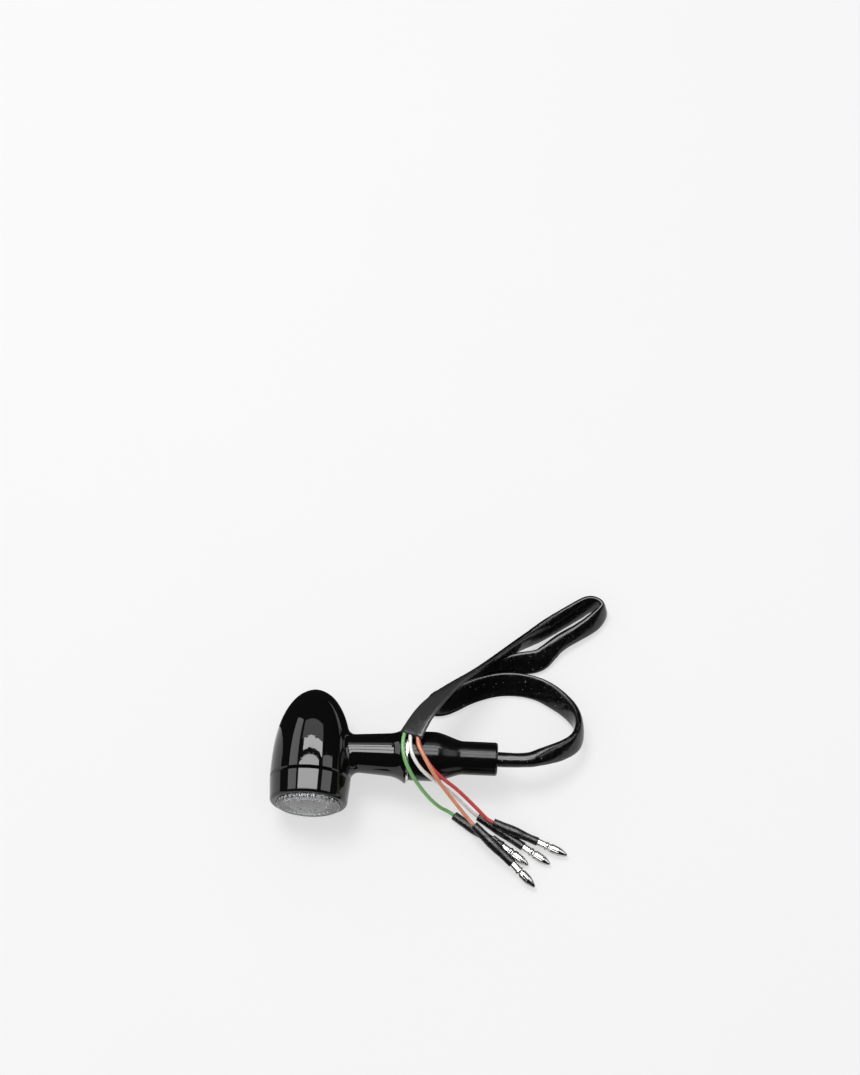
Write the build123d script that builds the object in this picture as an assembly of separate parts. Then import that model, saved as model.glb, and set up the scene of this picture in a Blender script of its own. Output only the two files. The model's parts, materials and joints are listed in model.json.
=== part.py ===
from build123d import *

import os
from math import cos, pi, radians, sin, tan

# A bullet-shaped LED turn signal on a short stem, with a hollow threaded stud, its lead and four plugs.
# Millimetres. The origin is the centre of the stem's seat face. +X runs along the stud, away from
# the lamp head, the lens faces -Y, and the unit lies on its side with +Z up.

# Lamp head, on an axis along Y that crosses the stem's axis
HEAD_X = -40.0                  # head axis, measured from the seat face
HEAD_RADIUS = 17.0              # largest radius, at the trim ring
HEAD_BACK = 27.5                # tip of the bullet
GROOVE_Y = -12.8                # trim ring meets the housing in a V groove here
GROOVE_DEPTH = 0.8
RING_FRONT = -23.4
RING_FRONT_RADIUS = 16.35       # the ring narrows a little towards the lens
LENS_CROWN = -25.2              # most forward point of the lens
SPIGOT_RADIUS = 15.0            # M30 x 1 thread that carries the trim ring
SPIGOT_FRONT = -20.0
CHAMBER_RADIUS = 13.3
RUNNING_GAP = 0.08              # radial play in the two threads

# Stem and fixing hardware, on the X axis
STEM_THIN = 7.75
STEM_THICK = 9.05
SEAT_RADIUS = 11.8
STUD_RADIUS = 4.0               # M8 x 1.25
STUD_END = 28.0
STUD_BORE = 2.5
STUD_ROOT = -9.0                # depth of the stud's socket in the stem
STEM_BORE = 3.0
STEM_FILLET = 3.5
STEM_JOINT = (-30.0, -22.0)     # the stem's joint with the shell lies between these
WASHER_THICK = 1.0
SPRING_THICK = 2.0
NUT_FLATS = 13.0
NUT_HEIGHT = 6.5
NUT_TURNS = 3.0
NUT_PITCH = 1.25

# Rubber boot over the nut
BOOT_RADIUS = 10.45
BOOT_NECK_RADIUS = 7.05
BOOT_SHOULDER = 11.6
BOOT_NECK_START = 23.8
BOOT_END = 38.5

# Lead
FLOOR = -HEAD_RADIUS
CABLE_RADIUS = 3.2
WIRE_RADIUS = 0.8
CRIMP_RADIUS = 2.1
BULLET_RADIUS = 1.95
CABLE_FLOOR = FLOOR + CABLE_RADIUS

# Light unit, stacked along Y inside the housing
SINK_BACK = -8.5
SINK_FRONT = -11.5
BOARD_FRONT = -13.1
REFLECTOR_BASE = -14.6
REFLECTOR_RIM = -19.0
DRIVER_FRONT = -5.5
DRIVER_BACK = -4.3
LED_LIFT = 1.4

AMBER_COUNT = 6
AMBER_CIRCLE = 8.2
RED_COUNT = 3
RED_CIRCLE = 3.2
SCREW_CIRCLE = 5.9
SCREW_RADIUS = 1.0
LEAD_RADIUS = 0.65
LEAD_PITCH = 0.85

HEAD_AXIS = Axis((HEAD_X, 0, 0), (0, 1, 0))


def turned_on_head(points):
    """Solid turned about the head's axis from (radius, y) points."""
    outline = Polyline(*[(HEAD_X + radius, y) for radius, y in points], close=True)
    return revolve(make_face(outline), HEAD_AXIS)


def turned_on_stem(points):
    """Solid turned about the stem's axis from (x, radius) points."""
    return revolve(make_face(Polyline(*points, close=True)), Axis.X)


def rod_along_y(x, z, radius, start, end):
    plane = Plane(origin=(x, start, z), z_dir=(0, 1, 0))
    return extrude(plane * Circle(radius), end - start)


def rod_along_x(y, z, radius, start, end):
    plane = Plane(origin=(start, y, z), z_dir=(1, 0, 0))
    return extrude(plane * Circle(radius), end - start)


def around_head(count, circle, first_angle=0.0):
    """(x, z) places on a circle about the head's axis."""
    angles = [radians(first_angle + 360 * i / count) for i in range(count)]
    return [(HEAD_X + circle * cos(a), circle * sin(a)) for a in angles]


# Head casing

def bullet_radius(share):
    """Outer radius of the housing at a share of its length from the groove to the tip."""
    return HEAD_RADIUS * (1 - share**2.5) ** 0.5


def housing_body():
    front = GROOVE_Y + GROOVE_DEPTH
    length = HEAD_BACK - front
    shares = (0.0, 0.3, 0.52, 0.7, 0.84, 0.93, 0.98, 1.0)
    stations = [(HEAD_X - bullet_radius(s), front + s * length) for s in shares]
    shell = Spline(*stations, tangents=[(0, 1), (1, 0)])
    nose = Polyline(
        (HEAD_X, HEAD_BACK),
        (HEAD_X, SPIGOT_FRONT),
        (HEAD_X - SPIGOT_RADIUS, SPIGOT_FRONT),
        (HEAD_X - SPIGOT_RADIUS, GROOVE_Y),
        (HEAD_X - HEAD_RADIUS + GROOVE_DEPTH, GROOVE_Y),
        (HEAD_X - HEAD_RADIUS, front),
    )
    return revolve(make_face(shell + nose), HEAD_AXIS)


def stem_body():
    """Tapered stem that flares out to the seat face."""
    taper = Polyline((-34, 0), (-34, STEM_THIN - 0.5), (-7.5, STEM_THICK))
    flare = Spline((-7.5, STEM_THICK), (-0.8, SEAT_RADIUS), tangents=[(12, 1), (1.2, 1)])
    seat = Polyline((-0.8, SEAT_RADIUS), (0, SEAT_RADIUS), (0, 0), (-34, 0))
    return revolve(make_face(taper + flare + seat), Axis.X)


def make_housing():
    """Casting: bullet shell, threaded spigot for the trim ring, stem and seat flange."""
    body = housing_body() + stem_body()
    curves = body.edges().filter_by(GeomType.BSPLINE)
    joint = [e for e in curves if STEM_JOINT[0] < e.center().X < STEM_JOINT[1]]
    body = fillet(joint, STEM_FILLET)
    chamber = turned_on_head([
        (0, SPIGOT_FRONT - 1), (CHAMBER_RADIUS, SPIGOT_FRONT - 1), (CHAMBER_RADIUS, SINK_BACK),
        (12.0, SINK_BACK), (12.0, 5.0), (6.0, 17.0), (0, 17.0),
    ])
    bore = rod_along_x(0, 0, STEM_BORE, -34, STUD_ROOT)
    socket = rod_along_x(0, 0, STUD_RADIUS, STUD_ROOT, 1)
    return body - chamber - bore - socket


def make_trim_ring():
    """Threaded ring that clamps the lens; its front edge is rounded."""
    inner = SPIGOT_RADIUS + RUNNING_GAP
    lip = 13.6
    edge = 1.6
    side = Polyline(
        (HEAD_X + lip, RING_FRONT),
        (HEAD_X + lip, RING_FRONT + 1.2),
        (HEAD_X + inner, RING_FRONT + 1.2),
        (HEAD_X + inner, GROOVE_Y),
        (HEAD_X + HEAD_RADIUS - GROOVE_DEPTH, GROOVE_Y),
        (HEAD_X + HEAD_RADIUS, GROOVE_Y - GROOVE_DEPTH),
        (HEAD_X + RING_FRONT_RADIUS, RING_FRONT + edge),
    )
    nose = RadiusArc(
        (HEAD_X + RING_FRONT_RADIUS, RING_FRONT + edge),
        (HEAD_X + RING_FRONT_RADIUS - edge, RING_FRONT),
        edge,
    )
    front = Line((HEAD_X + RING_FRONT_RADIUS - edge, RING_FRONT), (HEAD_X + lip, RING_FRONT))
    return revolve(make_face(side + nose + front), HEAD_AXIS)


def make_lens():
    """Clear cap: flange under the ring's lip, proud crowned front, short skirt in the spigot."""
    flange = 14.9
    flange_front = RING_FRONT + 1.25
    flange_back = SPIGOT_FRONT - 0.9
    side = Polyline(
        (HEAD_X, -22.9), (HEAD_X + 12.0, -22.9), (HEAD_X + 12.0, -19.4), (HEAD_X + 13.1, -19.4),
        (HEAD_X + 13.1, flange_back), (HEAD_X + flange, flange_back),
        (HEAD_X + flange, flange_front), (HEAD_X + 13.4, flange_front),
        (HEAD_X + 13.4, -24.2), (HEAD_X + 12.8, -24.7),
    )
    crown = TangentArc((HEAD_X, LENS_CROWN), (HEAD_X + 12.8, -24.7), tangent=(1, 0))
    close = Line((HEAD_X, LENS_CROWN), (HEAD_X, -22.9))
    return revolve(make_face(side + crown + close), HEAD_AXIS)


def make_lens_seal():
    section = 0.45
    middle = SPIGOT_FRONT - section
    circle = Plane.XY * Pos(HEAD_X + 14.1, middle) * Circle(section)
    return revolve(circle, HEAD_AXIS)


# Light unit

def make_reflector():
    """Bright cup in front of the board, with a hole for each lamp and a skirt down to the board."""
    cup = turned_on_head([
        (0, REFLECTOR_BASE), (11.9, REFLECTOR_BASE), (11.9, BOARD_FRONT), (12.7, BOARD_FRONT),
        (13.1, REFLECTOR_RIM), (12.5, REFLECTOR_RIM), (10.8, REFLECTOR_BASE - 1.4),
        (10.0, REFLECTOR_BASE - 1.0), (0, REFLECTOR_BASE - 1.0),
    ])
    for x, z in around_head(AMBER_COUNT, AMBER_CIRCLE) + around_head(RED_COUNT, RED_CIRCLE, 90):
        cup -= rod_along_y(x, z, 1.6, REFLECTOR_BASE - 2, REFLECTOR_BASE + 1)
    return cup


def make_led_board():
    board = turned_on_head([
        (0, BOARD_FRONT), (12.9, BOARD_FRONT), (12.9, SINK_FRONT), (0, SINK_FRONT),
    ])
    for x, z in around_head(3, SCREW_CIRCLE, 30):
        board -= rod_along_y(x, z, SCREW_RADIUS, BOARD_FRONT - 1, SINK_FRONT + 1)
    return board


def make_lamps(places):
    """Surface-mount lamps: a square body on the board and a small dome through the reflector."""
    lamps = []
    for x, z in places:
        body = Pos(x, BOARD_FRONT - LED_LIFT / 2, z) * Box(3.0, LED_LIFT, 3.0)
        dome = rod_along_y(x, z, 1.3, BOARD_FRONT - LED_LIFT - 1.0, BOARD_FRONT - LED_LIFT)
        tip = Pos(x, BOARD_FRONT - LED_LIFT - 1.0, z) * Sphere(1.3)
        lamps.append(body + dome + (tip - Pos(x, BOARD_FRONT + 2.6, z) * Box(6, 10, 6)))
    return lamps


def make_heat_sink():
    """Aluminium slug behind the board, with a turned groove and the tapped holes of the screws."""
    slug = turned_on_head([
        (0, SINK_FRONT), (13.2, SINK_FRONT), (13.2, -10.6), (12.3, -10.6), (12.3, -9.6),
        (13.2, -9.6), (13.2, SINK_BACK), (0, SINK_BACK),
    ])
    for x, z in around_head(3, SCREW_CIRCLE, 30):
        slug -= rod_along_y(x, z, SCREW_RADIUS, SINK_FRONT - 1, SINK_BACK + 1)
    return slug


def make_board_screws():
    screws = []
    for x, z in around_head(3, SCREW_CIRCLE, 30):
        head = rod_along_y(x, z, 1.9, BOARD_FRONT - 1.2, BOARD_FRONT)
        slot = Pos(x, BOARD_FRONT - 1.2, z) * Box(4.0, 0.9, 0.5)
        shank = rod_along_y(x, z, SCREW_RADIUS, BOARD_FRONT, -9.0)
        screws.append(head - slot + shank)
    return screws


def make_board_spacers():
    return [rod_along_y(HEAD_X + x, 0, 1.5, SINK_BACK, DRIVER_FRONT) for x in (-6.5, 6.5)]


def make_driver_board():
    middle = (DRIVER_FRONT + DRIVER_BACK) / 2
    return Pos(HEAD_X, middle, 0) * Box(16.0, DRIVER_BACK - DRIVER_FRONT, 15.0)


def make_driver_parts():
    """Controller, two resistors, a diode and a capacitor on the back of the driver board."""
    chip = Pos(HEAD_X - 3.0, DRIVER_BACK + 0.8, 0) * Box(5.0, 1.6, 4.0)
    resistors = [
        Pos(HEAD_X + x, DRIVER_BACK + 0.4, 5.5) * Box(3.2, 0.8, 1.6) for x in (-4.5, 0.5)
    ]
    diode = Pos(HEAD_X - 3.5, DRIVER_BACK + 1.0, -5.2) * Box(4.4, 2.0, 2.6)
    capacitor = rod_along_y(HEAD_X + 4.0, -4.6, 2.0, DRIVER_BACK, DRIVER_BACK + 4.5)
    return [chip, *resistors, diode, capacitor]


def lead_places():
    """Height and offset of the four inner leads, and where on the board each one starts."""
    places = []
    for z in (-LEAD_PITCH, LEAD_PITCH):
        places.append((HEAD_X + 6.0, -LEAD_PITCH, z))
        places.append((HEAD_X + 3.0, LEAD_PITCH, z))
    return places


def make_inner_leads():
    """Four insulated leads from the driver board through the stem and the hollow stud."""
    leads = []
    for start, y, z in lead_places():
        path = FilletPolyline((start, DRIVER_BACK, z), (start, y, z), (STUD_END, y, z), radius=1.6)
        section = Plane(origin=path @ 0, z_dir=path % 0) * Circle(LEAD_RADIUS)
        leads.append(sweep(section, path=path))
    return leads


def make_lead_seal():
    """Rubber plug with four holes that closes the stem's bore to water."""
    plug = rod_along_x(0, 0, STEM_BORE, -26.0, -21.0)
    for _, y, z in lead_places():
        plug -= rod_along_x(y, z, LEAD_RADIUS, -27, -20)
    return plug


# Fixing hardware

def make_mount_stud():
    """Hollow M8 stud set in the stem; its free end is chamfered."""
    return turned_on_stem([
        (STUD_ROOT, STUD_BORE), (STUD_ROOT, STUD_RADIUS), (STUD_END - 0.8, STUD_RADIUS),
        (STUD_END, STUD_RADIUS - 0.8), (STUD_END, STUD_BORE),
    ])


def make_washer():
    return turned_on_stem([
        (0, STUD_RADIUS + 0.2), (0, 10.9), (0.1, 11.0), (WASHER_THICK - 0.1, 11.0),
        (WASHER_THICK, 10.9), (WASHER_THICK, STUD_RADIUS + 0.2),
    ])


def make_spring_washer():
    """Split lock washer."""
    back = WASHER_THICK + SPRING_THICK
    ring = turned_on_stem([
        (WASHER_THICK, STUD_RADIUS + 0.1), (WASHER_THICK, 7.3), (back, 7.3), (back, STUD_RADIUS + 0.1),
    ])
    split = Pos((WASHER_THICK + back) / 2, 0, 5.7) * Rot(0, 0, 35) * Box(4.6, 1.0, 4.4)
    return ring - split


def make_hex_nut():
    start = WASHER_THICK + SPRING_THICK
    plane = Plane(origin=(start, 0, 0), z_dir=(1, 0, 0))
    prism = extrude(plane * RegularPolygon(NUT_FLATS / 2, 6, major_radius=False), NUT_HEIGHT)
    end = start + NUT_HEIGHT
    corner = NUT_FLATS / 2 / cos(radians(30))
    chamfer = turned_on_stem([
        (start, 0), (start, NUT_FLATS / 2), (start + 0.6, corner + 0.1), (end - 0.6, corner + 0.1),
        (end, NUT_FLATS / 2), (end, 0),
    ])
    bore = rod_along_x(0, 0, STUD_RADIUS + RUNNING_GAP, start - 1, end + 1)
    return (prism & chamfer) - bore


def make_boot():
    """Soft cover: a wide mouth over the nut, a shoulder, and a neck that grips the lead."""
    mouth = WASHER_THICK
    nut_room = WASHER_THICK + SPRING_THICK + NUT_HEIGHT + NUT_TURNS * NUT_PITCH + 0.35
    wide = Polyline((mouth, 8.1), (mouth, 10.05), (mouth + 0.4, BOOT_RADIUS), (BOOT_SHOULDER, BOOT_RADIUS))
    shoulder = Spline(
        (BOOT_SHOULDER, BOOT_RADIUS), (BOOT_NECK_START, BOOT_NECK_RADIUS),
        tangents=[(1, 0), (1, 0)], tangent_scalars=[0.8, 0.6],
    )
    neck = Polyline(
        (BOOT_NECK_START, BOOT_NECK_RADIUS), (BOOT_END - 1.0, BOOT_NECK_RADIUS),
        (BOOT_END - 0.3, BOOT_NECK_RADIUS - 0.3), (BOOT_END, BOOT_NECK_RADIUS - 1.0),
        (BOOT_END, CABLE_RADIUS + 0.5), (STUD_END + 0.6, CABLE_RADIUS + 0.5),
        (STUD_END + 0.6, STUD_RADIUS + 0.3), (nut_room + 6.5, STUD_RADIUS + 0.3),
        (nut_room, 8.1), (mouth, 8.1),
    )
    return revolve(make_face(wide + shoulder + neck), Axis.X)


# Lead: flat sleeving, drawn as a round tube, then four wires with insulated bullet plugs

CABLE_ROUTE = [
    (STUD_END, 0, 0),
    (49.0, 0, 0),
    (72.0, 0.6, -1.8),
    (78.0, 20.0, -8.0),
    (62.0, 35.8, -12.6),
    (42.0, 34.0, CABLE_FLOOR),
    (25.0, 24.2, CABLE_FLOOR),
    (9.8, 15.8, CABLE_FLOOR),
    (3.4, 28.2, CABLE_FLOOR),
    (20.2, 37.0, CABLE_FLOOR),
    (40.0, 44.2, CABLE_FLOOR),
    (61.0, 48.0, CABLE_FLOOR),
    (78.5, 56.0, CABLE_FLOOR),
    (88.0, 67.0, CABLE_FLOOR),
    (77.5, 76.0, CABLE_FLOOR),
    (56.5, 59.0, -12.8),
    (36.5, 45.0, -4.0),
    (18.5, 32.5, 2.5),
    (7.5, 20.0, 10.8),
    (3.5, 7.0, 12.8),
]

# For each wire: its place in the end of the sleeving (side, up), the points of its route between its
# first and last runs, the route of its insulating sleeve, and a point that its plug points at
PLUG_LENGTH = 13.5
WIRE_END_RUN = 5.0
WIRES = {
    "green": {
        "offset": (-1.95, -0.1),
        "route": [(-1.0, -4.5, 13.2), (0.8, -9.4, 9.8), (4.2, -12.9, 3.0), (8.5, -14.2, -5.5)],
        "crimp": [(21.4, -20.1, -14.9), (30.2, -26.7, -14.9), (42.1, -32.6, -14.9)],
        "tip": (52.9, -40.8, -15.05),
    },
    "white": {
        "offset": (-0.1, 0.9),
        "route": [(2.6, -4.0, 12.8), (7.5, -8.8, 9.4), (12.8, -11.8, 2.8), (18.5, -14.0, -6.0)],
        "crimp": [(31.5, -20.6, -14.9), (50.8, -32.9, -14.9)],
        "tip": (62.2, -40.2, -15.05),
    },
    "orange": {
        "offset": (1.8, 0.1),
        "route": [(7.0, -4.2, 14.1), (11.5, -10.8, 10.6), (16.0, -14.3, 2.4)],
        "crimp": [(29.6, -26.8, -8.0), (38.5, -34.8, -10.0), (46.4, -41.4, -11.6)],
        "tip": (56.1, -50.6, -14.4),
    },
    "red": {
        "offset": (0.5, -1.4),
        "route": [(5.6, -3.2, 12.2), (11.0, -8.4, 9.6), (15.8, -11.2, 4.6), (21.5, -12.8, -3.2)],
        "crimp": [(38.4, -22.5, -11.0), (56.8, -30.5, -13.4)],
        "tip": (69.1, -35.8, -14.9),
    },
}


def bend_radii(points):
    """Radius of each arc: 0.45 of the shorter run, divided by the tangent of half the turn."""
    corners = [Vector(*p) for p in points]
    radii = []
    for before, corner, after in zip(corners, corners[1:], corners[2:]):
        arriving = corner - before
        leaving = after - corner
        half_turn = radians(arriving.get_angle(leaving)) / 2
        radii.append(0.45 * min(arriving.length, leaving.length) / tan(half_turn))
    return radii


def cord_tube(name, points, radius):
    """Round tube along straight runs joined by arcs. Prints how well its volume agrees."""
    radii = bend_radii(points)
    path = FilletPolyline(*points, radius=radii)
    section = Plane(origin=path @ 0, z_dir=path % 0) * Circle(radius)
    tube = sweep(section, path=path)
    ideal = pi * radius**2 * path.length
    print(name, "length", round(path.length, 1), "volume ratio", round(tube.volume / ideal, 4),
          "radii", [round(r, 1) for r in radii])
    return tube


def cable_end():
    """The end of the sleeving: its centre, its direction, and its side and up directions."""
    centre = Vector(*CABLE_ROUTE[-1])
    direction = (centre - Vector(*CABLE_ROUTE[-2])).normalized()
    side = direction.cross(Vector(0, 0, 1)).normalized() * -1
    up = direction.cross(side).normalized()
    return centre, direction, side, up


def wire_route(wire):
    """Leaves square to the sleeving's end and arrives in line with the insulating sleeve."""
    centre, direction, side, up = cable_end()
    across, above = wire["offset"]
    start = centre + side * across + up * above
    first = start + direction * WIRE_END_RUN
    end = Vector(*wire["crimp"][0])
    arriving = (Vector(*wire["crimp"][1]) - end).normalized()
    last = end - arriving * WIRE_END_RUN
    return [tuple(start), tuple(first), *wire["route"], tuple(last), tuple(end)]


def plug_frame(wire):
    """Where the plug leaves its insulating sleeve, and the way it points."""
    root = Vector(*wire["crimp"][-1])
    return root, (Vector(*wire["tip"]) - root).normalized()


def make_crimp_sleeve(colour, wire):
    """Insulating sleeve over the wire's end and the plug's barrel, which goes 6 mm into it."""
    root, way = plug_frame(wire)
    if len(wire["crimp"]) == 2:
        start = Vector(*wire["crimp"][0])
        plane = Plane(origin=start, z_dir=root - start)
        sleeve = extrude(plane * Circle(CRIMP_RADIUS), (root - start).length)
    else:
        sleeve = cord_tube(colour + " sleeve", wire["crimp"], CRIMP_RADIUS)
    barrel = extrude(Plane(origin=root - way * 6.0, z_dir=way) * Circle(1.5), 8.0)
    return sleeve - barrel


def make_plug(wire):
    """Male bullet plug: crimped barrel, collar, neck, round body and tapered nose."""
    root, way = plug_frame(wire)
    outline = Polyline(
        (0, -6.0), (1.5, -6.0), (1.5, 3.4), (1.9, 3.8), (1.9, 4.5), (1.5, 4.8), (1.5, 5.4),
        (BULLET_RADIUS, 5.8), (BULLET_RADIUS, 10.6), (1.1, PLUG_LENGTH - 0.3),
        (0.7, PLUG_LENGTH), (0, PLUG_LENGTH), close=True,
    )
    profile = Plane.XZ * make_face(outline)
    turned = revolve(profile, Axis.Z)
    return Plane(origin=root, z_dir=way) * turned


def make_parts():
    parts = {
        "housing": make_housing(),
        "trim_ring": make_trim_ring(),
        "lens": make_lens(),
        "lens_seal": make_lens_seal(),
        "reflector": make_reflector(),
        "led_board": make_led_board(),
        "amber_leds": make_lamps(around_head(AMBER_COUNT, AMBER_CIRCLE)),
        "red_leds": make_lamps(around_head(RED_COUNT, RED_CIRCLE, 90)),
        "heat_sink": make_heat_sink(),
        "board_screws": make_board_screws(),
        "board_spacers": make_board_spacers(),
        "driver_board": make_driver_board(),
        "driver_parts": make_driver_parts(),
        "inner_leads": make_inner_leads(),
        "lead_seal": make_lead_seal(),
        "mount_stud": make_mount_stud(),
        "washer": make_washer(),
        "spring_washer": make_spring_washer(),
        "hex_nut": make_hex_nut(),
        "boot": make_boot(),
        "cable_sleeve": cord_tube("cable_sleeve", CABLE_ROUTE, CABLE_RADIUS),
    }
    for colour, wire in WIRES.items():
        parts[colour + "_wire"] = cord_tube(colour + "_wire", wire_route(wire), WIRE_RADIUS)
        parts[colour + "_crimp_sleeve"] = make_crimp_sleeve(colour, wire)
        parts[colour + "_plug"] = make_plug(wire)
    return parts


def as_shape(made):
    """One shape for a node, which may be a group of separate solids."""
    if isinstance(made, list):
        return Compound(children=made)
    return made


if __name__ == "__main__":
    os.makedirs("parts", exist_ok=True)
    for node, made in make_parts().items():
        export_step(as_shape(made), "parts/" + node + ".step")
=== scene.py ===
"""The looks of the turn signal indicator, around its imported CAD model."""

import json
from math import cos, floor, pi, radians, sin

import bpy
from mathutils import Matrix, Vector, noise


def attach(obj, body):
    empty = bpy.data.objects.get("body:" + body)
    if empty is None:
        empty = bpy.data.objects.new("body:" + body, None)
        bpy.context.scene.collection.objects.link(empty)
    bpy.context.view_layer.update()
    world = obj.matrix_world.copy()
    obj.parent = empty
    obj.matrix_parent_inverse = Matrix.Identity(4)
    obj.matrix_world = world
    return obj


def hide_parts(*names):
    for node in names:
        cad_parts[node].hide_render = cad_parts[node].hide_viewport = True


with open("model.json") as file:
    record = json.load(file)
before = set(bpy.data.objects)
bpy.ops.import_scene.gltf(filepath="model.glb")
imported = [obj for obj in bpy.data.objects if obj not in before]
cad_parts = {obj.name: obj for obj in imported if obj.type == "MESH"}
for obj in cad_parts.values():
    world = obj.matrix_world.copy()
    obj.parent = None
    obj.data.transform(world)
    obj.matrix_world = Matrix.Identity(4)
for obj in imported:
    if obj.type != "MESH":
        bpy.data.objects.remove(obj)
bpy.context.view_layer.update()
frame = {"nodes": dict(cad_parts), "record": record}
nodes = frame["nodes"]

UP = Vector((0, 0, 1))
MM = 0.001


# Finishes

NOISE_LOW, NOISE_HIGH = 0.35, 0.65      # nearly all of a noise texture's output lies between
NOISE_MIDDLE = 0.5
NOISE_SPREAD = 0.6                      # turns a share of the surface into a level of noise
GLINT_EDGE = 0.04                       # how soft the edge of a painted glint is, as a level of noise

materials = {}


def material(name, colour, roughness, metallic=0.0, ior=1.5):
    """A new finish, which is kept by its name."""
    made = bpy.data.materials.new(name)
    made.use_nodes = True
    set_input(made, "Base Color", (*colour, 1))
    set_input(made, "Roughness", roughness)
    set_input(made, "Metallic", metallic)
    set_input(made, "IOR", ior)
    materials[name] = made
    return made


def set_input(made, socket, value):
    made.node_tree.nodes["Principled BSDF"].inputs[socket].default_value = value


def feed(made, output, socket):
    """Drives one input of a finish with a texture."""
    surface = made.node_tree.nodes["Principled BSDF"]
    made.node_tree.links.new(output, surface.inputs[socket])


def noise_texture(made, size, detail=2.0, stretch=(1, 1, 1)):
    """A texture with features of about that size in metres, in the piece's own space."""
    tree = made.node_tree
    coordinates = tree.nodes.new("ShaderNodeTexCoord")
    mapping = tree.nodes.new("ShaderNodeMapping")
    mapping.inputs["Scale"].default_value = [s / size for s in stretch]
    texture = tree.nodes.new("ShaderNodeTexNoise")
    texture.inputs["Scale"].default_value = 1.0
    texture.inputs["Detail"].default_value = detail
    tree.links.new(coordinates.outputs["Object"], mapping.inputs["Vector"])
    tree.links.new(mapping.outputs["Vector"], texture.inputs["Vector"])
    return texture


def ramp(made, source, stops):
    """Maps a texture's output to colours: the two stops are (place, colour)."""
    node = made.node_tree.nodes.new("ShaderNodeValToRGB")
    elements = node.color_ramp.elements
    for element, (place, colour) in zip(elements, stops):
        element.position = place
        element.color = (*colour, 1)
    made.node_tree.links.new(source, node.inputs["Fac"])
    return node.outputs["Color"]


def grey(value):
    return (value, value, value)


def vary(made, socket, size, first, second, **texture):
    """Wanders between two values of a finish's input."""
    wander = noise_texture(made, size, **texture)
    stops = [(NOISE_LOW, first), (NOISE_HIGH, second)]
    feed(made, ramp(made, wander.outputs["Fac"], stops), socket)


def vary_roughness(made, size, low, high, **texture):
    vary(made, "Roughness", size, grey(low), grey(high), **texture)


def vary_colour(made, size, first, second, **texture):
    vary(made, "Base Color", size, first, second, **texture)


def painted_glints(made, size, colour, glint_colour, share):
    """Painted highlights: a few small light flecks on a dark finish, standing in for glints on its
    crinkles.
    """
    wander = noise_texture(made, size, detail=1.0)
    edge = NOISE_MIDDLE + (NOISE_MIDDLE - share) * NOISE_SPREAD
    stops = [(edge, colour), (edge + GLINT_EDGE, glint_colour)]
    feed(made, ramp(made, wander.outputs["Fac"], stops), "Base Color")


def painted_sheen_above(made, low, high, colour):
    """Painted reflection: fades the finish to a paler grey between those heights in metres,
    standing in for the grey sheen of that stretch.
    """
    tree = made.node_tree
    colour_input = tree.nodes["Principled BSDF"].inputs["Base Color"]
    coordinates = tree.nodes.new("ShaderNodeTexCoord")
    split = tree.nodes.new("ShaderNodeSeparateXYZ")
    fade = tree.nodes.new("ShaderNodeMapRange")
    fade.inputs["From Min"].default_value = low
    fade.inputs["From Max"].default_value = high
    mix = tree.nodes.new("ShaderNodeMixRGB")
    mix.inputs["Color2"].default_value = (*colour, 1)
    tree.links.new(coordinates.outputs["Object"], split.inputs[0])
    tree.links.new(split.outputs["Z"], fade.inputs["Value"])
    tree.links.new(fade.outputs["Result"], mix.inputs["Fac"])
    tree.links.new(colour_input.links[0].from_socket, mix.inputs["Color1"])
    tree.links.new(mix.outputs["Color"], colour_input)


def bump(made, size, height, **texture):
    """Relief of that height in metres, on top of any relief that is there."""
    tree = made.node_tree
    wander = noise_texture(made, size, **texture)
    node = tree.nodes.new("ShaderNodeBump")
    node.inputs["Strength"].default_value = 1.0
    node.inputs["Distance"].default_value = height
    tree.links.new(wander.outputs["Fac"], node.inputs["Height"])
    before = tree.nodes["Principled BSDF"].inputs["Normal"].links
    if before:
        tree.links.new(before[0].from_socket, node.inputs["Normal"])
    feed(made, node.outputs["Normal"], "Normal")


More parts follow.
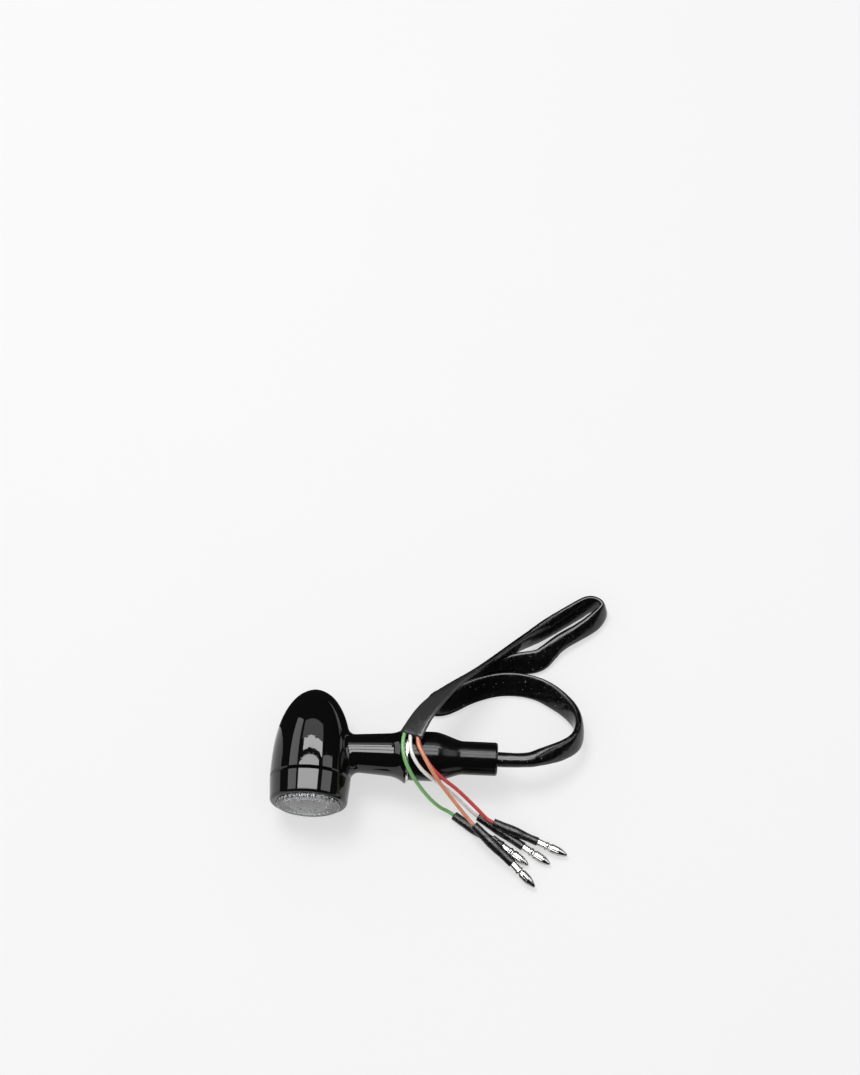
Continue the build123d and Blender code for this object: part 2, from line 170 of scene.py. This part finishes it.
def make_materials():
    black = material("gloss_black", (0.0035, 0.0035, 0.0038), 0.03)
    vary_roughness(black, 0.006, 0.02, 0.05)
    bump(black, 0.004, 0.000003)

    ring = material("black_ring", (0.0038, 0.0038, 0.004), 0.03)
    vary_roughness(ring, 0.003, 0.02, 0.06)
    bump(ring, 0.003, 0.000002)

    lens = material("clear_lens", (0.95, 0.965, 0.98), 0.02, ior=1.49)
    set_input(lens, "Transmission Weight", 1.0)
    vary_roughness(lens, 0.002, 0.01, 0.04)

    seal = material("seal_rubber", (0.01, 0.01, 0.01), 0.6)
    bump(seal, 0.0003, 0.00001)

    chrome = material("bright_reflector", (0.2, 0.2, 0.205), 0.15, metallic=1.0)
    vary_roughness(chrome, 0.001, 0.08, 0.2)

    board = material("board_green", (0.02, 0.13, 0.05), 0.35)
    vary_colour(board, 0.0012, (0.015, 0.1, 0.04), (0.03, 0.17, 0.07))

    for name, colour in (("amber_lamp", (0.95, 0.5, 0.06)), ("red_lamp", (0.75, 0.04, 0.03))):
        lamp = material(name, colour, 0.12)
        set_input(lamp, "Coat Weight", 1.0)
        vary_colour(lamp, 0.0006, colour, [0.8 * c for c in colour])

    sink = material("aluminium", (0.78, 0.78, 0.8), 0.35, metallic=1.0)
    vary_roughness(sink, 0.0004, 0.25, 0.45, stretch=(1, 0.1, 1))

    steel = material("steel", (0.66, 0.66, 0.66), 0.25, metallic=1.0)
    vary_roughness(steel, 0.0015, 0.16, 0.34)
    vary_colour(steel, 0.003, (0.6, 0.6, 0.6), (0.72, 0.715, 0.7))

    component = material("component_black", (0.02, 0.02, 0.02), 0.5)
    bump(component, 0.0003, 0.000008)

    lead = material("lead_insulation", (0.3, 0.3, 0.31), 0.45)
    vary_colour(lead, 0.001, (0.25, 0.25, 0.26), (0.36, 0.36, 0.37))

    rubber = material("boot_rubber", (0.0035, 0.0035, 0.0037), 0.16, ior=1.36)
    vary_roughness(rubber, 0.005, 0.13, 0.19)
    bump(rubber, 0.0007, 0.000002, detail=3.0)

    sleeving = material("sleeving", (0.003, 0.003, 0.0033), 0.16)
    vary_roughness(sleeving, 0.002, 0.1, 0.26, detail=4.0)
    # painted highlights: light flecks in the colour stand in for the glints of the crinkled wall
    painted_glints(sleeving, 0.0012, (0.003, 0.003, 0.0033), grey(0.12), share=0.12)
    # painted reflection: only its last stretch, which lies over the stem, rises far past the lower
    # height and so gets the paler grey that stands in for its sheen
    painted_sheen_above(sleeving, 0.002, 0.009, (0.036, 0.036, 0.037))
    bump(sleeving, 0.0025, 0.00006, detail=3.0)
    bump(sleeving, 0.0005, 0.000008)

    for name, first, second in (
        ("green_insulation", (0.18, 0.44, 0.14), (0.22, 0.5, 0.18)),
        ("white_insulation", (0.84, 0.82, 0.79), (0.9, 0.89, 0.87)),
        ("orange_insulation", (0.66, 0.24, 0.13), (0.74, 0.29, 0.16)),
        ("red_insulation", (0.56, 0.045, 0.05), (0.66, 0.065, 0.065)),
    ):
        wire = material(name, first, 0.38)
        vary_colour(wire, 0.004, first, second)
        vary_roughness(wire, 0.0015, 0.3, 0.48)
        bump(wire, 0.0008, 0.00001)

    shrink = material("shrink_black", (0.006, 0.006, 0.0065), 0.3)
    vary_roughness(shrink, 0.0016, 0.2, 0.42, detail=3.0)
    bump(shrink, 0.0011, 0.00012, detail=2.0)
    bump(shrink, 0.0002, 0.000006)

    tinned = material("tinned", (0.5, 0.5, 0.49), 0.18, metallic=1.0)
    vary_roughness(tinned, 0.0012, 0.12, 0.26, detail=3.0)
    bump(tinned, 0.0008, 0.00001)


make_materials()


def finish_piece(obj, slot, body="signal"):
    obj.data.materials.clear()
    obj.data.materials.append(materials[slot])
    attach(obj, body)


def dress_cad_nodes():
    for part in frame["record"]["subparts"]:
        for place in nodes[part["node"]].material_slots:
            place.material = materials[part["material_slot"]]


dress_cad_nodes()


# Meshes

def add_mesh(name, points, faces, smooth=True):
    mesh = bpy.data.meshes.new(name)
    mesh.from_pydata([tuple(p) for p in points], [], faces)
    mesh.validate()
    mesh.update()
    if smooth:
        mesh.shade_smooth()
    obj = bpy.data.objects.new(name, mesh)
    bpy.context.collection.objects.link(obj)
    return obj


def ring_faces(rings, around):
    """Faces between rings of as many points each, and one face over each end."""
    faces = []
    for i in range(rings - 1):
        j = i + 1
        for k in range(around):
            m = (k + 1) % around
            faces.append((i * around + k, i * around + m, j * around + m, j * around + k))
    faces.append(tuple(reversed(range(around))))
    faces.append(tuple((rings - 1) * around + k for k in range(around)))
    return faces


def spline_points(points, resolution=12):
    """Points along the smooth line that these control points give."""
    curve = bpy.data.curves.new("line", "CURVE")
    curve.dimensions = "3D"
    curve.resolution_u = resolution
    set_route(curve, points)
    obj = bpy.data.objects.new("line", curve)
    bpy.context.collection.objects.link(obj)
    mesh = bpy.data.meshes.new_from_object(obj)
    line = [v.co.copy() for v in mesh.vertices]
    bpy.data.objects.remove(obj)
    bpy.data.curves.remove(curve)
    bpy.data.meshes.remove(mesh)
    return line


def set_route(curve, points):
    """One smooth NURBS spline with those control points."""
    spline = curve.splines.new("NURBS")
    spline.points.add(len(points) - 1)
    for place, point in zip(spline.points, points):
        place.co = (*point, 1)
    spline.order_u = 3
    spline.use_endpoint_u = True


def frames_along(line):
    """(point, side, up) for each point of a line that is never upright."""
    found = []
    for i, point in enumerate(line):
        before = line[max(i - 1, 0)]
        after = line[min(i + 1, len(line) - 1)]
        tangent = (after - before).normalized()
        side = UP.cross(tangent).normalized()
        found.append((point, side, tangent.cross(side)))
    return found


def length_of(line):
    return sum((b - a).length for a, b in zip(line, line[1:]))


# The sleeving: place in mm, then width, thickness in mm and lean in degrees.
# With a lean of 0 it lies flat, and with 90 it stands on its edge.

SLEEVE = [
    (28, 0, 0, 6.2, 6.0, 0),
    (40, 0, 0, 6.2, 6.0, 0),
    (51.5, 0.1, -0.1, 6.2, 6.0, 8),
    (58.5, 2.9, -1.1, 7.6, 5.0, 35),
    (66.0, 6.3, -3.1, 8.8, 3.8, 48),
    (72.2, 11.4, -5.6, 9.6, 3.6, 60),
    (73.8, 18.8, -8.0, 9.8, 4.2, 86),
    (70.6, 26.6, -10.2, 10.0, 3.8, 116),
    (63.4, 33.6, -11.8, 10.5, 3.0, 132),
    (54, 39.0, -12.8, 10.6, 2.3, 142),
    (40, 40.3, -13.0, 10.7, 2.2, 142),
    (26.6, 36.2, -12.9, 10.6, 2.3, 143),
    (14.6, 28.2, -12.7, 10.0, 2.8, 136),
    (9.2, 27.0, -12.2, 9.0, 3.0, 116),
    (7.9, 29.0, -12.1, 9.0, 3.0, 95),
    (10.6, 31.6, -12.1, 9.0, 3.0, 78),
    (18.0, 33.9, -12.4, 9.2, 3.0, 54),
    (27.4, 40.8, -12.9, 9.8, 2.8, 42),
    (37.4, 46.5, -12.8, 10.2, 2.7, 38),
    (47.2, 49.9, -12.9, 10.4, 2.7, 36),
    (55.4, 51.2, -12.9, 10.2, 2.8, 36),
    (59.4, 55.2, -12.8, 9.0, 3.4, 40),
    (64.2, 60.5, -12.6, 7.6, 4.6, 45),
    (74.4, 66.9, -12.4, 8.2, 3.9, 50),
    (81.0, 72.3, -12.2, 9.2, 3.2, 54),
    (84.6, 78.5, -12.1, 9.6, 3.0, 80),
    (77.8, 80.4, -12.1, 9.8, 3.0, 112),
    (71.2, 75.7, -12.1, 9.8, 3.2, 122),
    (63.0, 69.9, -11.8, 9.4, 3.4, 126),
    (55.0, 63.7, -10.8, 9.4, 3.4, 119),
    (47.1, 57.4, -8.4, 9.0, 3.1, 100),
    (38.2, 49.6, -4.6, 9.4, 2.8, 84),
    (28.8, 40.6, -0.4, 9.6, 2.7, 74),
    (20.6, 33.2, 3.8, 9.6, 2.7, 60),
    (13.9, 25.5, 7.6, 9.6, 2.7, 42),
    (8.7, 18.1, 10.6, 9.8, 2.7, 30),
    (4.8, 11.3, 12.2, 10.0, 2.7, 24),
    (1.7, 4.1, 12.9, 10.7, 2.7, 20),
]
SLEEVE_WALL = 0.55 * MM
SLEEVE_WRINKLE = 0.22 * MM
MOUTH_STEPS = (1, 5, 10)    # rings back from the cut end that the inside of the wall follows
EDGE_POWER = 0.9            # of the section across its width
FLAT_SHARE = 0.5            # how flat the faces of a very thin section are, up to 1


def signed_power(value, power):
    """A power that keeps the value's sign, which turns an oval into a rounded oblong."""
    return abs(value) ** power if value >= 0 else -(abs(value) ** power)


def sleeve_ring(middle, side, up, width, thickness, lean, wall=0.0, around=40):
    """One section of the sleeving: round, or with flatter faces the thinner it is."""
    across = side * cos(lean) + up * sin(lean)
    through = up * cos(lean) - side * sin(lean)
    flatness = 1 - FLAT_SHARE * (1 - thickness / width)
    ring = []
    for k in range(around):
        angle = 2 * pi * k / around
        out = signed_power(cos(angle), EDGE_POWER) * (width / 2 - wall)
        rise = signed_power(sin(angle), flatness) * (thickness / 2 - wall)
        ring.append(middle + across * out + through * rise)
    return ring


def wrinkle(point, amount):
    """A small fixed unevenness of a soft wall, in lumps of about 11 and 2.4 mm."""
    broad = noise.noise(point * 90)
    fine = noise.noise(point * 420)
    return amount * (0.7 * broad + 0.3 * fine)


def make_sleeving():
    line = spline_points([[c * MM for c in row[:3]] for row in SLEEVE])
    # the lean goes in tens of degrees, so that all three are of one size
    shape = spline_points([(row[3], row[4], row[5] / 10) for row in SLEEVE])
    sections = [
        (point, side, up, width * MM, thickness * MM, radians(lean * 10))
        for (point, side, up), (width, thickness, lean) in zip(frames_along(line), shape)
    ]
    rings = []
    for section in sections:
        point = section[0]
        rings.append([
            place + (place - point).normalized() * wrinkle(place, SLEEVE_WRINKLE)
            for place in sleeve_ring(*section)
        ])
    # the open mouth: the wall turns in and runs back
    rings += [sleeve_ring(*sections[-back], wall=SLEEVE_WALL) for back in MOUTH_STEPS]
    points = [p for ring in rings for p in ring]
    obj = add_mesh("flat_sleeving", points, ring_faces(len(rings), len(rings[0])))
    finish_piece(obj, "sleeving")
    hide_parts("cable_sleeve")


make_sleeving()


# The wires: route, crimp sleeve and plug tip in mm

WIRES = {
    "green": {
        "route": [(-0.4, 7.8, 11.4), (-1.7, 3.0, 12.9), (-1.2, -4.3, 13.2), (1.6, -10.0, 9.6),
                  (5.6, -13.7, 2.4), (10.4, -16.6, -6.0), (15.0, -18.5, -11.8)],
        "crimp": [(21.2, -20.6, -14.9), (29.9, -27.0, -14.9), (42.1, -33.0, -14.9)],
        "tip": (52.9, -40.8, -15.05),
    },
    "white": {
        "route": [(1.6, 7.4, 12.3), (1.4, 2.4, 13.4), (2.2, -4.0, 13.2), (6.6, -9.6, 9.6),
                  (13.0, -12.2, 3.0), (19.2, -13.6, -4.8), (25.6, -17.0, -12.0)],
        "crimp": [(31.5, -20.6, -14.9), (50.8, -32.9, -14.9)],
        "tip": (62.2, -40.2, -15.05),
    },
    "orange": {
        "route": [(5.0, 7.0, 13.3), (4.2, 1.6, 14.2), (7.0, -4.2, 14.1), (11.5, -10.8, 10.6),
                  (16.0, -14.3, 2.4)],
        "crimp": [(29.6, -26.8, -8.0), (38.5, -34.8, -10.0), (46.4, -41.4, -11.6)],
        "tip": (56.1, -50.6, -14.4),
    },
    "red": {
        "route": [(4.6, 7.6, 12.3), (4.9, 1.8, 12.3), (7.0, -3.4, 12.2), (11.0, -8.7, 9.6),
                  (15.8, -11.4, 4.8), (22.4, -13.8, -1.6), (32.4, -21.0, -8.4)],
        "crimp": [(37.8, -24.1, -11.6), (56.8, -31.0, -13.4)],
        "tip": (69.1, -35.9, -14.9),
    },
}
WIRE_RADIUS = 0.8 * MM
WIRE_STRAIGHT = 2.5         # in mm, in front of the crimp sleeve
WIRE_TUCKED = 1.5           # in mm, inside it
CRIMP_RADIUS = 2.1 * MM
CRIMP_WALL = 0.4 * MM
CRIMP_WRINKLE = 0.25 * MM
CRIMP_WIDE, CRIMP_HIGH = 1.02, 0.96
CRIMP_INSIDE = 1.12         # of the wire's radius
CRIMP_SEED_STEP = 0.37      # moves the unevenness on from one to the next


def in_metres(point):
    return Vector(point) * MM


def make_wire(colour, wire):
    """The lead, which comes straight into its crimp sleeve, and its route in metres."""
    crimp = [Vector(p) for p in wire["crimp"]]
    arriving = (crimp[1] - crimp[0]).normalized()
    route = [Vector(p) for p in wire["route"]]
    route += [crimp[0] - WIRE_STRAIGHT * arriving, crimp[0] + WIRE_TUCKED * arriving]
    route = [p * MM for p in route]
    curve = bpy.data.curves.new(colour + "_lead", "CURVE")
    curve.dimensions = "3D"
    curve.resolution_u = 24
    curve.bevel_depth = WIRE_RADIUS
    curve.bevel_resolution = 5
    curve.use_fill_caps = True
    set_route(curve, route)
    obj = bpy.data.objects.new(colour + "_lead", curve)
    bpy.context.collection.objects.link(obj)
    finish_piece(obj, colour + "_insulation")
    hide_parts(colour + "_wire")
    return obj, route


def crimp_swell(share):
    """How full the tube is at that share of its length: fullest near its middle."""
    return 0.9 + 0.1 * sin(pi * min(1.0, share * 1.5)) - 0.06 * sin(3 * pi * share)


def make_crimp_sleeve(colour, wire, seed):
    """Shrunk tube over the wire's end and the plug's barrel, with an uneven outline."""
    route = [in_metres(p) for p in wire["crimp"]]
    if len(route) == 2:
        route.insert(1, (route[0] + route[1]) / 2)
    line = spline_points(route, 20)
    around = 32
    rings = []
    for i, (point, side, up) in enumerate(frames_along(line)):
        radius = CRIMP_RADIUS * crimp_swell(i / (len(line) - 1))
        rings.append([])
        for k in range(around):
            angle = 2 * pi * k / around
            out = side * cos(angle) * CRIMP_WIDE + up * sin(angle) * CRIMP_HIGH
            place = point + out * radius
            rings[-1].append(place + out * wrinkle(place + Vector((seed, 0, 0)), CRIMP_WRINKLE))
    # at each end the wall turns in and runs back
    inside = 1 - CRIMP_WALL / CRIMP_RADIUS
    back = [
        [line[-i] + (p - line[-i]) * inside for p in rings[-i]]
        for i in (1, 3)
    ]
    front = [
        [line[i] + (p - line[i]).normalized() * WIRE_RADIUS * CRIMP_INSIDE for p in rings[i]]
        for i in (4, 0)
    ]
    rings = front + rings + back
    points = [p for ring in rings for p in ring]
    obj = add_mesh(colour + "_shrink_sleeve", points, ring_faces(len(rings), around))
    finish_piece(obj, "shrink_black")
    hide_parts(colour + "_crimp_sleeve")
    return obj


# Plug outline: distance from the crimp sleeve's end and radius, in mm

PLUG = [
    (-5.5, 0.0), (-5.5, 1.35), (-5.3, 1.5), (3.2, 1.5), (3.45, 1.55), (3.75, 1.82), (4.05, 1.9),
    (4.4, 1.9), (4.6, 1.78), (4.8, 1.5), (5.3, 1.45), (5.6, 1.7), (5.9, 1.92), (6.6, 1.95),
    (9.0, 1.95), (10.0, 1.84), (11.2, 1.5), (12.4, 1.04), (13.2, 0.66), (13.5, 0.42), (13.52, 0.0),
]
SEAM_DEPTH = 0.35
SEAM_END = 10.7             # how far along the seam runs


def make_plug(colour, wire):
    """Rolled bullet plug with a seam along its upper side."""
    root = in_metres(wire["crimp"][-1])
    axis = (in_metres(wire["tip"]) - root).normalized()
    side = UP.cross(axis).normalized()
    up = axis.cross(side)
    around = 64
    seam = around // 4 + 5
    points = []
    for s, r in PLUG:
        for k in range(around):
            angle = 2 * pi * k / around
            depth = SEAM_DEPTH if k == seam and s < SEAM_END else 0.0
            radius = max(r - depth, 0.0) * MM
            points.append(root + axis * s * MM + (side * cos(angle) + up * sin(angle)) * radius)
    obj = add_mesh(colour + "_bullet_plug", points, ring_faces(len(PLUG), around))
    finish_piece(obj, "tinned")
    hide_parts(colour + "_plug")
    return obj


def make_wires():
    """Each lead is one cord with its crimp sleeve and its plug."""
    for i, (colour, wire) in enumerate(WIRES.items()):
        lead, route = make_wire(colour, wire)
        crimp = make_crimp_sleeve(colour, wire, i * CRIMP_SEED_STEP)
        plug = make_plug(colour, wire)
        round(length_of(spline_points(route)), 4)


make_wires()


# The lens: outline as distance from the head's axis and place along it, then how deep the
# prism facets are there, all in mm. The facets of a negative depth are half a step on.

HEAD_X = -40.0
LENS_FRONT = -25.2
LENS_DROP = 0.5
LENS_RADIUS = 12.8
LENS_FACE = (0.02, 2, 4, 6, 8, 10, 11.4, 12.4)
LENS_RIM = [
    (12.8, -24.68, 0), (13.2, -24.5, 0), (13.4, -24.2, 0), (13.4, -22.15, 0), (14.9, -22.15, 0),
    (14.9, -20.9, 0), (13.1, -20.9, 0), (13.1, -19.4, 0), (12.4, -19.4, 0), (12.4, -22.0, 0),
]
LENS_BACK = [
    (12.1, -22.3, 0.8), (11.0, -22.4, -1.5), (9.7, -22.5, 1.4), (8.3, -22.6, -1.3),
    (7.3, -23.0, 0), (4.0, -23.2, 0), (0.02, -23.3, 0),
]
PRISMS = 30


def lens_front(radius):
    """Place of the crowned front."""
    return LENS_FRONT + LENS_DROP * (radius / LENS_RADIUS) ** 2


def make_lens():
    """Clear cap with a crowned front, and rows of prism facets behind its rim."""
    around = 8 * PRISMS
    outline = [(r, lens_front(r), 0.0) for r in LENS_FACE] + LENS_RIM + LENS_BACK
    points = []
    for radius, y, prism in outline:
        for k in range(around):
            angle = 2 * pi * k / around
            phase = k * PRISMS / around
            tooth = abs(2 * (phase - floor(phase + 0.5)))
            depth = prism * tooth if prism >= 0 else -prism * (1 - tooth)
            points.append((
                (HEAD_X + radius * cos(angle)) * MM,
                (y - depth) * MM,
                -radius * sin(angle) * MM,
            ))
    obj = add_mesh("clear_cap", points, ring_faces(len(outline), around), smooth=False)
    finish_piece(obj, "clear_lens", "lens_unit")
    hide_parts("lens")


make_lens()


# The floor, in metres as all that follows

FLOOR_Z = -0.017
FLOOR_FAR = 6.0
FLOOR_GREY = 0.36
FLOOR_GLOW = 0.573
# where the floor's parts meet, in x and in y
STEM_X, PLUGS_X, CORNER_X = -0.02, 0.045, -0.05
NEAR_Y, FRONT_Y, RIGHT_Y, SLANT_Y = -0.045, 0.014, 0.2, 2.5


def make_floor():
    """A pale lit table top. Only two of its parts show in the gloss of the black finish."""
    pale = material("floor_white", grey(FLOOR_GREY), 1.0)
    set_input(pale, "Specular IOR Level", 0.0)
    set_input(pale, "Emission Color", (1, 1, 1, 1))
    set_input(pale, "Emission Strength", FLOOR_GLOW)
    vary_colour(pale, 0.05, grey(FLOOR_GREY - 0.001), grey(FLOOR_GREY + 0.001))
    far = FLOOR_FAR
    parts = (
        ("floor_near", True, [
            (-far, -far), (STEM_X, -far), (STEM_X, NEAR_Y), (PLUGS_X, NEAR_Y), (PLUGS_X, FRONT_Y),
            (CORNER_X, FRONT_Y), (-far, SLANT_Y),
        ]),
        ("floor_right", True, [(PLUGS_X, -far), (far, -far), (far, RIGHT_Y), (PLUGS_X, RIGHT_Y)]),
        ("floor_back", False, [
            (-far, SLANT_Y), (CORNER_X, FRONT_Y), (PLUGS_X, FRONT_Y), (PLUGS_X, RIGHT_Y),
            (far, RIGHT_Y), (far, far), (-far, far),
        ]),
        ("floor_front", False, [
            (STEM_X, -far), (PLUGS_X, -far), (PLUGS_X, NEAR_Y), (STEM_X, NEAR_Y),
        ]),
    )
    for name, in_gloss, outline in parts:
        points = [(x, y, FLOOR_Z) for x, y in outline]
        ground = add_mesh(name, points, [tuple(range(len(points)))], smooth=False)
        ground.data.materials.append(pale)
        ground.visible_glossy = in_gloss


make_floor()


# Lights. The key casts the shadows, and the panels are seen only in gloss and through the lens.

KEY = ("key", (-0.35, 0.45, 1.3), (0, 0, 0), 0.6, 0.6, 8.1)
PANEL_HEIGHT = 1.3
OVERHEAD_PANELS = (
    # name, lowest and highest x, lowest and highest y, radiance
    ("front_panel", -0.82, 0.58, -0.25, 0.068, 8.5),
    ("middle_panel", -0.80, 0.58, 0.137, 0.53, 8.5),
    ("rear_panel", -0.58, 0.8, 0.605, 0.82, 9.5),
    ("dim_panel", -0.75, 0.85, 0.84, 1.4, 1.3),
)
SIDE_PANELS = (
    # name, middle, aim, width, height, radiance, as for the key
    ("left_panel", (-1.163, 0.65, 0.994), (-0.04, 0.65, 0), 1.7, 0.66, 2.2),
    ("right_panel", (1.134, 0.21, 0.934), (-0.04, 0.21, 0), 0.82, 0.78, 2.2),
)


def area_light(name, place, aim, size_x, size_y, radiance, in_gloss=True):
    """A rectangular panel of even radiance, seen in gloss or else lighting what is matt."""
    data = bpy.data.lights.new(name, "AREA")
    data.shape = "RECTANGLE"
    data.size = size_x
    data.size_y = size_y
    data.energy = radiance * pi * size_x * size_y
    obj = bpy.data.objects.new(name, data)
    bpy.context.collection.objects.link(obj)
    obj.location = place
    obj.rotation_euler = (Vector(place) - Vector(aim)).to_track_quat("Z", "Y").to_euler()
    obj.visible_camera = False
    obj.visible_diffuse = not in_gloss
    obj.visible_glossy = in_gloss
    obj.visible_transmission = in_gloss


def make_lights():
    area_light(*KEY, in_gloss=False)
    for name, low_x, high_x, low_y, high_y, radiance in OVERHEAD_PANELS:
        x, y = (low_x + high_x) / 2, (low_y + high_y) / 2
        width, height = high_x - low_x, high_y - low_y
        area_light(name, (x, y, PANEL_HEIGHT), (x, y, 0), width, height, radiance)
    for panel in SIDE_PANELS:
        area_light(*panel)


make_lights()


# The surroundings, as bright as this to each kind of ray

WORLD_STRENGTHS = (
    ("Is Camera Ray", 0.913),
    ("Is Diffuse Ray", 0.6),
    ("Is Glossy Ray", 0.012),
    ("Is Transmission Ray", 0.05),
)


def make_world():
    world = bpy.data.worlds.new("studio")
    bpy.context.scene.world = world
    world.use_nodes = True
    world.cycles.sampling_method = "NONE"
    tree = world.node_tree
    background = tree.nodes["Background"]
    background.inputs["Color"].default_value = (1, 1, 1, 1)
    path = tree.nodes.new("ShaderNodeLightPath")
    last = None
    for name, strength in WORLD_STRENGTHS:
        node = tree.nodes.new("ShaderNodeMath")
        node.operation = "MULTIPLY_ADD"
        tree.links.new(path.outputs[name], node.inputs[0])
        node.inputs[1].default_value = strength
        node.inputs[2].default_value = 0.0
        if last:
            tree.links.new(last.outputs[0], node.inputs[2])
        last = node
    tree.links.new(last.outputs[0], background.inputs["Strength"])
    bpy.context.scene.view_settings.view_transform = "Standard"


make_world()


def make_camera(aim, azimuth, elevation, distance, lens):
    """Looks at the aim from that far, turned by those degrees from straight along Y."""
    a, e = radians(azimuth), radians(elevation)
    back = Vector((sin(a) * cos(e), -cos(a) * cos(e), sin(e)))
    data = bpy.data.cameras.new("camera")
    data.lens = lens
    data.clip_start = 0.01
    camera = bpy.data.objects.new("camera", data)
    bpy.context.collection.objects.link(camera)
    camera.location = Vector(aim) + back * distance
    camera.rotation_euler = back.to_track_quat("Z", "Y").to_euler()
    bpy.context.scene.camera = camera


make_camera(aim=(0.0049, 0.1084, -0.010), azimuth=2.64, elevation=63.5, distance=0.9, lens=66.7)
